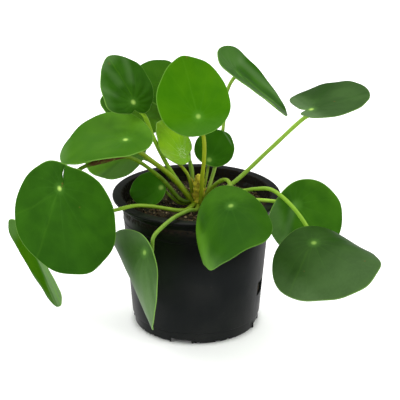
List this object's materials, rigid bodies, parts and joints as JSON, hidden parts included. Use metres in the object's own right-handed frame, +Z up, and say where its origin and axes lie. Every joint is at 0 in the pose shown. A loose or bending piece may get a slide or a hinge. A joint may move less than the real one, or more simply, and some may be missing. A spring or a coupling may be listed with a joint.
{
  "type": "potted pilea plant",
  "caption": "Pilea house plant with round peltate leaves on long arching stalks, on a short stem in a filled black plastic nursery pot with a flat rim.",
  "frame": {"origin": "middle of the pot's flat base, on the surface that the pot stands on", "axes": "+Z up, -Y to the front of the plant as pictured, +X to the right seen from the front"},
  "size_m": [0.2608, 0.1899, 0.1971],
  "materials": {
    "pot": "satin black, moulded",
    "soil": "crumbly dark compost",
    "stem": "olive brown skin with leaf scars",
    "stalk": "smooth pale green skin",
    "blade": "smooth green leaf with a soft sheen",
    "young_blade": "smooth lime green young leaf, glossy"
  },
  "bodies": {
    "root": {"pot": "pot", "soil": "soil", "stem": "stem", "leaf_01_blade": "blade", "leaf_01_stalk": "stalk", "leaf_02_blade": "blade", "leaf_02_stalk": "stalk", "leaf_03_blade": "blade", "leaf_03_stalk": "stalk", "leaf_04_blade": "blade", "leaf_04_stalk": "stalk", "leaf_05_blade": "blade", "leaf_05_stalk": "stalk", "leaf_06_blade": "blade", "leaf_06_stalk": "stalk", "leaf_07_blade": "blade", "leaf_07_stalk": "stalk", "leaf_08_blade": "blade", "leaf_08_stalk": "stalk", "leaf_09_blade": "blade", "leaf_09_stalk": "stalk", "leaf_10_blade": "young_blade", "leaf_10_stalk": "stalk", "leaf_11_blade": "blade", "leaf_11_stalk": "stalk", "leaf_12_blade": "blade", "leaf_12_stalk": "stalk", "leaf_13_blade": "blade", "leaf_13_stalk": "stalk", "leaf_14_blade": "blade", "leaf_14_stalk": "stalk", "leaf_15_blade": "blade", "leaf_15_stalk": "stalk", "leaf_16_blade": "blade", "leaf_16_stalk": "stalk", "leaf_17_blade": "blade", "leaf_17_stalk": "stalk"}
  },
  "joints": []
}
